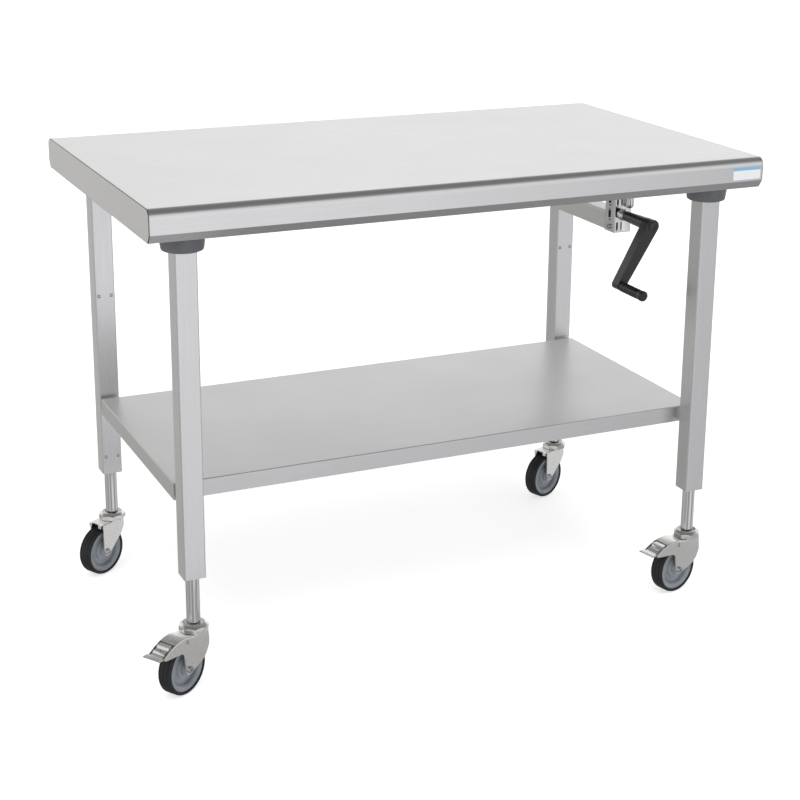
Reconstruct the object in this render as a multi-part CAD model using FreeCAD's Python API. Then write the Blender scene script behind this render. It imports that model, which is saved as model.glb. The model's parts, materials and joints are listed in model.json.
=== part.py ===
import FreeCAD, Part
import math
import os

# Height-adjustable stainless work table on four swivel castors, in millimetres.
# Origin: on the floor under the centre of the worktop. +X to the right along the long side,
# -Y to the side the user stands at, +Z up. It is drawn at a working height of 900 mm.

Vector = FreeCAD.Vector
X_AXIS = Vector(1, 0, 0)
Y_AXIS = Vector(0, 1, 0)
Z_AXIS = Vector(0, 0, 1)
OUTPUT_FOLDER = "parts"

RUNNING_GAP = 0.08  # round a shaft that turns or slides in a hole

# Worktop
TOP_LENGTH = 1200.0
TOP_DEPTH = 700.0
TOP_HEIGHT = 900.0
TOP_SHEET = 1.5
EDGE_HEIGHT = 58.0
EDGE_RADIUS = 15.0
EDGE_CHAMFER_IN = 10.0
EDGE_CHAMFER_UP = 15.0
EDGE_RETURN = 15.0
BOARD_THICKNESS = 26.0
BOARD_MARGIN = 2.0

# Underframe rails, over the front and the back pair of legs
RAIL_WIDTH = 56.0
RAIL_LENGTH = 1150.0
RAIL_SHEET = 2.0

# Legs
LEG_X = 523.0
LEG_Y = 278.0
LEG_SIZE = 40.0
LEG_WALL = 2.0
LEG_BOTTOM = 215.0
COLLAR_HEIGHT = 31.0
COLLAR_TOP_RADIUS = 40.5
COLLAR_BOTTOM_RADIUS = 37.0

# Lift: a round tube slides out of each leg on two bushes, pushed by a hydraulic cylinder inside it
LIFT_TUBE_RADIUS = 12.5
LIFT_TUBE_BORE = 10.5
LIFT_TUBE_TOP = 756.0
BUSH_LEVELS = ((LEG_BOTTOM, 74.0, 252.0), (570.0, 44.0, 592.0))  # bottom, height, screw height
BUSH_SCREW_SPACING = 25.0
PISTON_TOP = 752.0
PISTON_HEIGHT = 20.0
PISTON_RADIUS = 8.0
PISTON_ROD_RADIUS = 4.0
CYLINDER_RADIUS = 10.0
CYLINDER_BOTTOM = 546.0
CYLINDER_GLAND = 14.0
CYLINDER_HEAD_RADIUS = 14.5
CYLINDER_HEAD_BOTTOM = 838.0
CYLINDER_HEAD_TOP = 866.0

# Shelf between the legs
SHELF_TOP = 381.0
SHELF_SHEET = 1.2
SHELF_FOLD = 32.0
SHELF_HALF_DEPTH = 247.0
SHELF_RETURN = 14.0
SHELF_BRACKET_WIDTH = 30.0
SHELF_BRACKET_HEIGHT = 24.0

# Castors. In a castor's own frame the stem is at 0,0, +x is the way the wheel trails,
# y is along the axle and z is the height above the floor.
WHEEL_RADIUS = 50.0
WHEEL_TRAIL = 35.0
TYRE_HALF_WIDTH = 15.0
TYRE_INNER_RADIUS = 43.0
FORK_HALF_WIDTH = 19.0
FORK_SHEET = 2.5
CROWN_TOP = 110.4
AXLE_RADIUS = 4.0
KING_PIN_RADIUS = 6.0
STEM_COLLAR_FLATS = 50.0
STEM_COLLAR_TURN = 12.0
STEM_COLLAR_BOTTOM = CROWN_TOP + 0.6
STEM_COLLAR_TOP = 124.5
STEM_COLLAR_RIM = 20.0
STEM_RECESS_FLOOR = 119.5
STEM_SPIGOT_TOP = 150.0
BRAKE_PIVOT = (39.0, 105.0)
BRAKE_PIN_RADIUS = 2.5
HOOD_END = 69.0
PEDAL_HALF_WIDTH = 13.5
PEDAL_BAR_HALF_WIDTH = 18.5
PEDAL_TEETH = 7

# name, side along X, side along Y, swivel angle, braked
CASTORS = (
    ("front_left", -1, -1, 32.0, True),
    ("front_right", 1, -1, 13.0, True),
    ("back_left", -1, 1, 30.0, False),
    ("back_right", 1, 1, 21.0, False),
)

# Crank pump, hung under the board and tied to the back right leg by the oil tank
PUMP_HALF_WIDTH = 20.0
PUMP_FRONT = 20.0
PUMP_BACK = 60.0
PUMP_BOTTOM = 679.0
PUMP_PLATE = 4.0
TANK_BOTTOM = 680.0
CRANK_HEIGHT = 717.0
GEAR_PITCH_RADIUS = 7.5
GEAR_TEETH = 10
GEAR_OUTER_RADIUS = 8.7
GEAR_ROOT_RADIUS = 5.8
GEAR_SECTIONS = 4
GEAR_SECTION_PITCH = 7.0
GEAR_SECTION_DEPTH = 5.4
GEAR_SIDE_GAP = 0.3
GEAR_FIRST_SECTION = 26.3
SHAFT_RADIUS = 4.0

# Crank
CRANK_LENGTH = 137.0
CRANK_LEAN = 30.0
ARM_FRONT = -98.0
ARM_BACK = -74.0
ARM_TOP_RADIUS = 14.0
ARM_END_RADIUS = 9.5
HUB_START = 5.5
HUB_RADIUS = 10.5
HUB_END_RADIUS = 13.5
GRIP_START = -100.5
GRIP_END = -182.0
GRIP_RADIUS = 10.2
GRIP_RIBS = 8
GRIP_PIN_RADIUS = 4.0

# Hydraulic lines under the board
LINE_RADIUS = 3.0
LINE_BORE = 1.8
LINE_HEIGHT = 858.0
LINE_BEND = 15.0
LINE_TURN_X = 468.0
LINE_PORTS = (26.0, 34.0, 42.0, 50.0)

# Values that follow from the sizes above
HALF_LENGTH = TOP_LENGTH / 2
HALF_DEPTH = TOP_DEPTH / 2
EDGE_BOTTOM = TOP_HEIGHT - EDGE_HEIGHT
BOARD_TOP = TOP_HEIGHT - TOP_SHEET
BOARD_BOTTOM = BOARD_TOP - BOARD_THICKNESS
RAIL_BOTTOM = EDGE_BOTTOM + 0.5
LEG_HALF = LEG_SIZE / 2
LEG_INNER_HALF = LEG_HALF - LEG_WALL
CRANK_ANGLE = math.radians(CRANK_LEAN)
GRIP_X = LEG_X - CRANK_LENGTH * math.sin(CRANK_ANGLE)
GRIP_Z = CRANK_HEIGHT - CRANK_LENGTH * math.cos(CRANK_ANGLE)


def box(x_low, x_high, y_low, y_high, z_low, z_high):
    size = (x_high - x_low, y_high - y_low, z_high - z_low)
    return Part.makeBox(*size, Vector(x_low, y_low, z_low))


def cylinder(radius, start, direction, length):
    return Part.makeCylinder(radius, length, Vector(*start), direction)


def upright(radius, x, y, z_low, z_high):
    return cylinder(radius, (x, y, z_low), Z_AXIS, z_high - z_low)


def along_y(radius, x, z, y_low, y_high):
    return cylinder(radius, (x, y_low, z), Y_AXIS, y_high - y_low)


def polygon_prism(points, depth_vector):
    corners = [Vector(*point) for point in points]
    face = Part.Face(Part.makePolygon(corners + corners[:1]))
    return face.extrude(depth_vector)


def side_prism(outline, half_width):
    """A solid from an outline in the x, z plane, as thick as the half width each side of y = 0."""
    points = [(x, -half_width, z) for x, z in outline]
    return polygon_prism(points, Vector(0, 2 * half_width, 0))


def turned(profile, axis=Z_AXIS):
    """A solid of revolution. The profile lists (radius, height along the axis)."""
    if axis == Y_AXIS:
        corners = [Vector(radius, height, 0) for radius, height in profile]
    else:
        corners = [Vector(radius, 0, height) for radius, height in profile]
    face = Part.Face(Part.makePolygon(corners + corners[:1]))
    return face.revolve(Vector(0, 0, 0), axis, 360)


def moved(shape, x=0.0, y=0.0, z=0.0):
    copy = shape.copy()
    copy.translate(Vector(x, y, z))
    return copy


def fused(shapes):
    return shapes[0].multiFuse(shapes[1:]).removeSplitter()


def cut(shape, tools):
    for tool in tools:
        shape = shape.cut(tool)
    return shape


def regular_prism(flats, sides, z_low, z_high):
    radius = flats / 2 / math.cos(math.pi / sides)
    points = []
    for index in range(sides):
        angle = 2 * math.pi * (index + 0.5) / sides
        points.append((radius * math.cos(angle), radius * math.sin(angle), z_low))
    return polygon_prism(points, Vector(0, 0, z_high - z_low))


def save(name, shapes):
    """Write one node. Several pieces in a node stay separate solids."""
    shapes = shapes if isinstance(shapes, list) else [shapes]
    solids = [solid for shape in shapes for solid in shape.Solids]
    for solid in solids:
        if not solid.isValid():
            raise ValueError(name + " has a solid that is not valid")
    whole = solids[0] if len(solids) == 1 else Part.makeCompound(solids)
    whole.exportStep(os.path.join(OUTPUT_FOLDER, name + ".step"))
    print(name, len(solids), round(whole.Volume))


# ---------------------------------------------------------------- worktop


def edge_outline(inset):
    """The worktop's outline across its depth, moved in by the sheet's thickness."""
    half = HALF_DEPTH - inset
    radius = EDGE_RADIUS - inset
    slope_length = math.hypot(EDGE_CHAMFER_IN, EDGE_CHAMFER_UP)
    corner_shift = inset * (slope_length - EDGE_CHAMFER_UP) / EDGE_CHAMFER_IN
    bend_z = EDGE_BOTTOM + EDGE_CHAMFER_UP - corner_shift
    bottom_z = EDGE_BOTTOM + inset
    bottom_y = half - EDGE_CHAMFER_IN * (bend_z - bottom_z) / EDGE_CHAMFER_UP
    top_z = TOP_HEIGHT - inset
    diagonal = radius * (1 - math.sqrt(0.5))

    def at(y, z):
        return Vector(-HALF_LENGTH, y, z)

    edges = [
        Part.makeLine(at(-bottom_y, bottom_z), at(-half, bend_z)),
        Part.makeLine(at(-half, bend_z), at(-half, top_z - radius)),
        Part.Arc(
            at(-half, top_z - radius), at(-half + diagonal, top_z - diagonal), at(-half + radius, top_z)
        ).toShape(),
        Part.makeLine(at(-half + radius, top_z), at(half - radius, top_z)),
        Part.Arc(
            at(half - radius, top_z), at(half - diagonal, top_z - diagonal), at(half, top_z - radius)
        ).toShape(),
        Part.makeLine(at(half, top_z - radius), at(half, bend_z)),
        Part.makeLine(at(half, bend_z), at(bottom_y, bottom_z)),
        Part.makeLine(at(bottom_y, bottom_z), at(-bottom_y, bottom_z)),
    ]
    return Part.Face(Part.Wire(edges))


def make_worktop():
    length = TOP_LENGTH - 2 * TOP_SHEET
    outside = moved(edge_outline(0.0).extrude(Vector(length, 0, 0)), x=TOP_SHEET)
    inside = edge_outline(TOP_SHEET).extrude(Vector(TOP_LENGTH, 0, 0))
    opening_half = HALF_DEPTH - EDGE_CHAMFER_IN - EDGE_RETURN
    opening = box(-HALF_LENGTH, HALF_LENGTH, -opening_half, opening_half, EDGE_BOTTOM - 1, EDGE_BOTTOM + 5)
    save("worktop_skin", cut(outside, [inside, opening]))
    plate = edge_outline(0.0).extrude(Vector(TOP_SHEET, 0, 0))
    save("end_plate_left", plate)
    save("end_plate_right", moved(plate, x=TOP_LENGTH - TOP_SHEET))
    half_x = HALF_LENGTH - TOP_SHEET - BOARD_MARGIN
    half_y = HALF_DEPTH - EDGE_RADIUS - BOARD_MARGIN
    save("core_board", box(-half_x, half_x, -half_y, half_y, BOARD_BOTTOM, BOARD_TOP))


def make_rail(side_y):
    """A channel open upwards, with a hole over each leg and one where a line comes in."""
    half = RAIL_WIDTH / 2
    half_length = RAIL_LENGTH / 2
    middle = side_y * LEG_Y
    rail = box(-half_length, half_length, middle - half, middle + half, RAIL_BOTTOM, BOARD_BOTTOM)
    trough = box(
        -half_length, half_length, middle - half + RAIL_SHEET, middle + half - RAIL_SHEET,
        RAIL_BOTTOM + RAIL_SHEET, BOARD_BOTTOM,
    )
    tools = [trough]
    for side_x in (-1, 1):
        head_hole = CYLINDER_HEAD_RADIUS + 0.5
        tools.append(upright(head_hole, side_x * LEG_X, middle, RAIL_BOTTOM - 1, RAIL_BOTTOM + 5))
        inner_wall = middle - side_y * half
        tools.append(
            along_y(LINE_RADIUS + 2, side_x * LINE_TURN_X, LINE_HEIGHT, inner_wall - 5, inner_wall + 5)
        )
    return cut(rail, tools)


# ---------------------------------------------------------------- legs and lifts


def screw_places(side_x, side_y):
    """x, y and z of each bush screw, on the face of the leg that looks at the middle of the table."""
    face = side_y * (LEG_Y - LEG_HALF)
    for bottom, height, level in BUSH_LEVELS:
        for offset in (-BUSH_SCREW_SPACING / 2, BUSH_SCREW_SPACING / 2):
            yield side_x * LEG_X + offset, face, level


def screw_holes(side_x, side_y, radius):
    return [
        along_y(radius, x, z, y - 1 if side_y > 0 else y - 5, y + 5 if side_y > 0 else y + 1)
        for x, y, z in screw_places(side_x, side_y)
    ]


def make_leg_tube(side_x, side_y):
    x = side_x * LEG_X
    y = side_y * LEG_Y
    half = LEG_HALF
    inner = LEG_INNER_HALF
    tube = box(x - half, x + half, y - half, y + half, LEG_BOTTOM, RAIL_BOTTOM)
    vertical = [edge for edge in tube.Edges if abs(edge.tangentAt(edge.FirstParameter).z) > 0.9]
    tube = tube.makeFillet(2.5, vertical)
    hollow = box(x - inner, x + inner, y - inner, y + inner, LEG_BOTTOM - 1, RAIL_BOTTOM + 1)
    return cut(tube, [hollow] + screw_holes(side_x, side_y, 2.05))


def make_leg_collar(side_x, side_y):
    """A tapered plastic cup round the top of a leg, against the rail."""
    x = side_x * LEG_X
    y = side_y * LEG_Y
    top = RAIL_BOTTOM
    bottom = top - COLLAR_HEIGHT
    profile = [
        (0, bottom), (COLLAR_BOTTOM_RADIUS - 4, bottom), (COLLAR_BOTTOM_RADIUS - 1.2, bottom + 1.2),
        (COLLAR_BOTTOM_RADIUS, bottom + 4), (COLLAR_TOP_RADIUS, top), (0, top),
    ]
    half = LEG_HALF + 0.1
    hole = box(x - half, x + half, y - half, y + half, bottom - 1, top + 1)
    return moved(turned(profile), x, y).cut(hole)


def make_guide_bushes(side_x, side_y):
    x = side_x * LEG_X
    y = side_y * LEG_Y
    half = LEG_INNER_HALF - 0.1
    bushes = []
    for bottom, height, level in BUSH_LEVELS:
        block = box(x - half, x + half, y - half, y + half, bottom + 0.5, bottom + height)
        bore = upright(LIFT_TUBE_RADIUS + RUNNING_GAP, x, y, bottom - 1, bottom + height + 1)
        bushes.append(cut(block, [bore] + screw_holes(side_x, side_y, 2.05)))
    return bushes


def make_bush_screws(side_x, side_y):
    """Round heads on the leg's inner face, with a short shank into the bush."""
    screws = []
    for x, y, z in screw_places(side_x, side_y):
        head = turned([
            (0, 0), (3.6, 0), (3.4, -1.0), (2.2, -1.8), (1.4, -1.9), (1.4, -0.8), (0, -0.8),
        ], Y_AXIS)
        shank = along_y(2.0, 0, 0, 0, 4.5)
        screw = fused([head, shank])
        if side_y < 0:
            screw.rotate(Vector(0, 0, 0), Z_AXIS, 180)
        screws.append(moved(screw, x, y, z))
    return screws


def make_lift_cylinder(side_x, side_y):
    """The barrel hangs from its head, which stands through the rail. The oil comes in at the side."""
    top_of_bore = CYLINDER_HEAD_TOP - 14
    top_of_gland = CYLINDER_BOTTOM + CYLINDER_GLAND
    outside = [
        (0, CYLINDER_BOTTOM), (CYLINDER_RADIUS, CYLINDER_BOTTOM), (CYLINDER_RADIUS, CYLINDER_HEAD_BOTTOM),
        (CYLINDER_HEAD_RADIUS, CYLINDER_HEAD_BOTTOM), (CYLINDER_HEAD_RADIUS, CYLINDER_HEAD_TOP),
        (0, CYLINDER_HEAD_TOP),
    ]
    bore = upright(PISTON_RADIUS + RUNNING_GAP, 0, 0, top_of_gland, top_of_bore)
    gland = upright(PISTON_ROD_RADIUS + RUNNING_GAP, 0, 0, CYLINDER_BOTTOM - 1, top_of_gland + 1)
    side_port = cylinder(LINE_BORE, (0, 0, LINE_HEIGHT), X_AXIS * -side_x, 20)
    down_port = upright(LINE_BORE, 0, 0, top_of_bore - 1, LINE_HEIGHT)
    barrel = cut(turned(outside), [bore, gland, side_port, down_port])
    return moved(barrel, side_x * LEG_X, side_y * LEG_Y)


def make_lift_tube():
    tube = turned([
        (LIFT_TUBE_BORE, STEM_RECESS_FLOOR), (LIFT_TUBE_RADIUS, STEM_RECESS_FLOOR),
        (LIFT_TUBE_RADIUS, LIFT_TUBE_TOP), (LIFT_TUBE_BORE, LIFT_TUBE_TOP),
    ])
    pin_hole = along_y(2.0, 0, STEM_COLLAR_TOP + 8, -LIFT_TUBE_RADIUS - 1, 0)
    return tube.cut(pin_hole)


def make_piston_rod():
    foot = STEM_SPIGOT_TOP - 12
    bottom = PISTON_TOP - PISTON_HEIGHT
    return turned([
        (0, foot), (PISTON_ROD_RADIUS, foot), (PISTON_ROD_RADIUS, bottom), (PISTON_RADIUS, bottom),
        (PISTON_RADIUS, bottom + 7), (PISTON_RADIUS - 1.5, bottom + 7),
        (PISTON_RADIUS - 1.5, bottom + 12), (PISTON_RADIUS, bottom + 12),
        (PISTON_RADIUS, PISTON_TOP), (0, PISTON_TOP),
    ])


def make_castor_stem():
    """The spigot in the lift tube, an eight-sided collar, and the king pin with its riveted end."""
    collar = regular_prism(STEM_COLLAR_FLATS, 8, STEM_COLLAR_BOTTOM, STEM_COLLAR_TOP)
    collar.rotate(Vector(0, 0, 0), Z_AXIS, STEM_COLLAR_TURN)
    outer = STEM_COLLAR_FLATS / 2 + 3
    chamfered = turned([
        (0, STEM_COLLAR_BOTTOM - 1), (outer - 1.5, STEM_COLLAR_BOTTOM - 1), (outer, STEM_COLLAR_BOTTOM + 1.5),
        (outer, STEM_RECESS_FLOOR - 1.5), (STEM_COLLAR_RIM, STEM_COLLAR_TOP), (0, STEM_COLLAR_TOP),
    ])
    recess = upright(STEM_COLLAR_RIM - 1.5, 0, 0, STEM_RECESS_FLOOR, STEM_COLLAR_TOP + 1)
    spigot = upright(LIFT_TUBE_BORE - 0.1, 0, 0, STEM_RECESS_FLOOR - 2, STEM_SPIGOT_TOP)
    pin = upright(KING_PIN_RADIUS, 0, 0, CROWN_TOP - 4, STEM_RECESS_FLOOR - 2)
    crown_bottom = CROWN_TOP - FORK_SHEET
    head = turned([
        (0, crown_bottom - 5), (5, crown_bottom - 5), (9, crown_bottom - 2), (9, crown_bottom - 0.4),
        (0, crown_bottom - 0.4),
    ])
    rod_socket = upright(PISTON_ROD_RADIUS + 0.02, 0, 0, STEM_SPIGOT_TOP - 12, STEM_SPIGOT_TOP + 1)
    ring = collar.common(chamfered).cut(recess)
    return fused([ring, spigot, pin, head]).cut(rod_socket)


# ---------------------------------------------------------------- castors


def arc_points(centre, radius, start, end, steps):
    points = []
    for index in range(steps + 1):
        angle = math.radians(start + (end - start) * index / steps)
        points.append((centre[0] + radius * math.cos(angle), centre[1] + radius * math.sin(angle)))
    return points


def fork_from(outline, top_line, back_wall):
    """A pressed fork: the outline's full width, hollowed from below and left open at the nose."""
    whole = side_prism(outline, FORK_HALF_WIDTH)
    lowered = [(x, z - FORK_SHEET) for x, z in top_line]
    inner = [(lowered[0][0], 0)] + lowered + [(lowered[-1][0], 0)]
    hollow = side_prism(inner, FORK_HALF_WIDTH - FORK_SHEET)
    tools = [hollow, upright(KING_PIN_RADIUS + RUNNING_GAP, 0, 0, CROWN_TOP - 10, CROWN_TOP + 1)]
    tools.append(along_y(AXLE_RADIUS + 0.05, WHEEL_TRAIL, WHEEL_RADIUS, -30, 30))
    below_back_wall = box(-40, 5, -FORK_HALF_WIDTH + FORK_SHEET, FORK_HALF_WIDTH - FORK_SHEET, 0, back_wall)
    tools.append(below_back_wall)
    return cut(whole, tools)


def round_long_edges(solid, radius):
    """Round the two long upper edges where the cheeks turn into the crown."""
    chosen = []
    for edge in solid.Edges:
        middle = edge.CenterOfMass
        straight = abs(edge.tangentAt(edge.FirstParameter).y) < 0.01
        on_side = abs(abs(middle.y) - FORK_HALF_WIDTH) < 0.01
        if straight and on_side and middle.z > 96 and edge.Length > 5:
            chosen.append(edge)
    return solid.makeFillet(radius, chosen)


def make_braked_fork():
    """Cheeks with a long hood over the wheel, open at the nose for the pedal."""
    hood = [(28, CROWN_TOP), (36, 113.4), (46, 114.8), (60, 114), (73, 111), (86, 105.8), (99, 98.8)]
    under_axle = arc_points((WHEEL_TRAIL, WHEEL_RADIUS), 9.5, 230, 360, 8)
    outline = [(-19, CROWN_TOP)] + hood + [(98.5, 92.5), (84, 90.5), (66, 89), (53, 87), (48, 82)]
    outline += under_axle[::-1] + [(8, 50), (-4, 56), (-13, 66), (-19, 78), (-21, 90)]
    fork = fork_from(outline, [(-17.5, CROWN_TOP)] + hood + [(120, 90)], 80)
    nose = box(HOOD_END, 130, FORK_SHEET - FORK_HALF_WIDTH, FORK_HALF_WIDTH - FORK_SHEET, 80, 130)
    pin_hole = along_y(BRAKE_PIN_RADIUS + 0.05, BRAKE_PIVOT[0], BRAKE_PIVOT[1], -30, 30)
    fork = round_long_edges(fork, 2.2)
    return cut(fork, [nose, pin_hole])


def make_plain_fork():
    """Narrower cheeks without a hood, and two small ears at the front of the crown."""
    under_axle = arc_points((WHEEL_TRAIL, WHEEL_RADIUS), 9.0, 225, 360, 8)
    outline = [(-14, CROWN_TOP), (45, CROWN_TOP)] + under_axle[::-1] + [(9, 64), (-6, 79), (-15, 96)]
    fork = fork_from(outline, [(-12, CROWN_TOP), (60, CROWN_TOP)], 88)
    fork = round_long_edges(fork, 2.2)
    ear = box(42, 50, 9, 16, CROWN_TOP - FORK_SHEET, CROWN_TOP)
    lip = box(48, 50, 9, 16, CROWN_TOP - 7, CROWN_TOP - FORK_SHEET)
    ears = [ear, lip, moved(ear, y=-25), moved(lip, y=-25)]
    return fused([fork] + ears)


def make_axle():
    """A bolt through both cheeks, with a round socket head and a hexagon nut."""
    shank = along_y(AXLE_RADIUS, 0, 0, -FORK_HALF_WIDTH - 6, FORK_HALF_WIDTH + 1)
    out = FORK_HALF_WIDTH
    head = turned([
        (0, out), (6.8, out), (6.8, out + 2), (5.6, out + 4), (3, out + 4), (3, out + 2), (0, out + 2),
    ], Y_AXIS)
    nut = regular_prism(13.0, 6, 0, 5)
    nut.rotate(Vector(0, 0, 0), X_AXIS, 90)
    nut = moved(nut, y=-FORK_HALF_WIDTH)
    return moved(fused([shank, head, nut]), WHEEL_TRAIL, 0, WHEEL_RADIUS)


def make_tyre():
    inner = TYRE_INNER_RADIUS
    half = [
        (inner, 12.0), (inner + 1.5, 14.2), (inner + 3.5, TYRE_HALF_WIDTH), (inner + 4.8, 14.4),
        (48.8, 12.4), (49.6, 9.0), (WHEEL_RADIUS, 4.0),
    ]
    profile = half + [(radius, -y) for radius, y in reversed(half)]
    return moved(turned(profile, Y_AXIS), WHEEL_TRAIL, 0, WHEEL_RADIUS)


def make_wheel_hub():
    """The plastic wheel centre: a boss on the axle, a thin web with a step, and a rim."""
    bore = AXLE_RADIUS + RUNNING_GAP
    half = [
        (bore, 15.8), (9.5, 15.8), (11.5, 13.0), (13.0, 8.5), (20.0, 7.0), (21.0, 5.0), (31.0, 4.5),
        (33.0, 9.0), (35.0, 11.0), (40.5, 12.0), (TYRE_INNER_RADIUS, 12.0),
    ]
    profile = half + [(radius, -y) for radius, y in reversed(half)]
    return moved(turned(profile, Y_AXIS), WHEEL_TRAIL, 0, WHEEL_RADIUS)


def make_brake_pin():
    out = FORK_HALF_WIDTH
    pin = along_y(BRAKE_PIN_RADIUS, 0, 0, -out, out)
    head = turned([(0, out), (4.2, out), (3.6, out + 1.2), (0, out + 1.6)], Y_AXIS)
    other_head = head.mirror(Vector(0, 0, 0), Y_AXIS)
    return moved(fused([pin, head, other_head]), BRAKE_PIVOT[0], 0, BRAKE_PIVOT[1])


def make_brake_pedal():
    """A lever on the pin, its shoe above the tread, two steps up out of the hood and a toothed bar."""
    lever = [
        (37, 106.0), (50, 106.6), (60, 106.2), (70, 103.8), (73.5, 107.0), (80, 106.4), (82.6, 101.4),
        (91, 100.7), (93.6, 96.4), (104, 95.6), (104, 98.8), (95.6, 99.4), (93, 103.4), (84.6, 104.2),
        (82, 109.2), (72.6, 110.2), (70.2, 106.8), (60, 108.8), (50, 109.4), (39, 108.8),
    ]
    bar = [(102.5, 95.4), (114, 96.6), (114.6, 99.8), (102.5, 99.2)]
    plate = side_prism(lever, PEDAL_HALF_WIDTH)
    toothed_bar = side_prism(bar, PEDAL_BAR_HALF_WIDTH)
    boss = along_y(3.8, BRAKE_PIVOT[0], BRAKE_PIVOT[1], -PEDAL_HALF_WIDTH, PEDAL_HALF_WIDTH)
    shoe = side_prism([(53, 107), (54, 100.6), (57, 99), (66.5, 94.8), (67.5, 98.4), (66, 105)], 11)
    gaps = [along_y(BRAKE_PIN_RADIUS + RUNNING_GAP, BRAKE_PIVOT[0], BRAKE_PIVOT[1], -30, 30)]
    pitch = 2 * PEDAL_BAR_HALF_WIDTH / PEDAL_TEETH
    for index in range(1, PEDAL_TEETH):
        middle = index * pitch - PEDAL_BAR_HALF_WIDTH
        half_gap = pitch * 0.32
        corners = [(107, middle, 85), (116, middle - half_gap, 85), (116, middle + half_gap, 85)]
        gaps.append(polygon_prism(corners, Vector(0, 0, 20)))
    return cut(fused([plate, toothed_bar, boss, shoe]), gaps)


def placed_castor(shape, side_x, side_y, angle):
    """Turn a castor piece so that it trails the way its swivel stands, and move it to its leg."""
    copy = shape.copy()
    copy.rotate(Vector(0, 0, 0), Z_AXIS, 180 + angle)
    copy.translate(Vector(side_x * LEG_X, side_y * LEG_Y, 0))
    return copy


def make_castors():
    lift_tube = make_lift_tube()
    piston_rod = make_piston_rod()
    stem = make_castor_stem()
    forks = {True: make_braked_fork(), False: make_plain_fork()}
    turning = {"castor_axle": make_axle(), "tyre": make_tyre(), "wheel_hub": make_wheel_hub()}
    brake = {"brake_pin": make_brake_pin(), "brake_pedal": make_brake_pedal()}
    for name, side_x, side_y, angle, braked in CASTORS:
        x = side_x * LEG_X
        y = side_y * LEG_Y
        save("lift_tube_" + name, moved(lift_tube, x, y))
        save("piston_rod_" + name, moved(piston_rod, x, y))
        save("castor_stem_" + name, moved(stem, x, y))
        pieces = dict(turning, castor_fork=forks[braked])
        if braked:
            pieces.update(brake)
        for piece, shape in pieces.items():
            save(piece + "_" + name, placed_castor(shape, side_x, side_y, angle))


# ---------------------------------------------------------------- shelf


def make_shelf():
    """A tray with its four sides folded down and turned in at the bottom."""
    half_x = LEG_X + LEG_HALF
    half_y = SHELF_HALF_DEPTH
    bottom = SHELF_TOP - SHELF_FOLD
    sheet = SHELF_SHEET
    block = box(-half_x, half_x, -half_y, half_y, bottom, SHELF_TOP)
    upper = [edge for edge in block.Edges if edge.CenterOfMass.z > SHELF_TOP - 1]
    block = block.makeFillet(2.0, upper)
    hollow = box(
        -half_x + sheet, half_x - sheet, -half_y + sheet, half_y - sheet, bottom + sheet, SHELF_TOP - sheet
    )
    opening_x = half_x - SHELF_RETURN
    opening_y = half_y - SHELF_RETURN
    opening = box(-opening_x, opening_x, -opening_y, opening_y, bottom - 1, bottom + sheet + 1)
    return cut(block, [hollow, opening])


def make_shelf_bracket(side_x, side_y):
    """A flat block welded between the shelf's fold and the leg."""
    half = SHELF_BRACKET_WIDTH / 2
    x = side_x * LEG_X
    near = SHELF_HALF_DEPTH
    far = LEG_Y - LEG_HALF
    low, high = (near, far) if side_y > 0 else (-far, -near)
    top = SHELF_TOP - 4
    return box(x - half, x + half, low, high, top - SHELF_BRACKET_HEIGHT, top)


# ---------------------------------------------------------------- pump and crank


def gear_outline(turn):
    """Straight-sided teeth, narrower than the gaps so that a pair runs freely."""
    points = []
    step = 2 * math.pi / GEAR_TEETH
    for index in range(GEAR_TEETH):
        middle = index * step + turn
        shape = ((-0.30, GEAR_ROOT_RADIUS), (-0.13, GEAR_OUTER_RADIUS), (0.13, GEAR_OUTER_RADIUS),
                 (0.30, GEAR_ROOT_RADIUS))
        for share, radius in shape:
            angle = middle + share * step
            points.append((radius * math.sin(angle), radius * math.cos(angle)))
    return points


def section_start(index):
    return GEAR_FIRST_SECTION + index * GEAR_SECTION_PITCH


def make_gear_shaft(turn, centre_z, shaft_start, shaft_end):
    """A shaft with one gear for each leg's pump section."""
    solids = [along_y(SHAFT_RADIUS, 0, 0, shaft_start, shaft_end)]
    outline = gear_outline(turn)
    for index in range(GEAR_SECTIONS):
        start = section_start(index) + GEAR_SIDE_GAP
        depth = GEAR_SECTION_DEPTH - 2 * GEAR_SIDE_GAP
        solids.append(polygon_prism([(x, start, z) for x, z in outline], Vector(0, depth, 0)))
    return moved(fused(solids), LEG_X, 0, centre_z)


def groove(width, z_low, z_high):
    """A round-ended upright groove cutter that reaches 3 mm each side of the origin's x, z plane."""
    half = width / 2
    middle = box(-half, half, -3, 3, z_low + half, z_high - half)
    ends = [along_y(half, 0, z, -3, 3) for z in (z_low + half, z_high - half)]
    return fused([middle] + ends)


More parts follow.
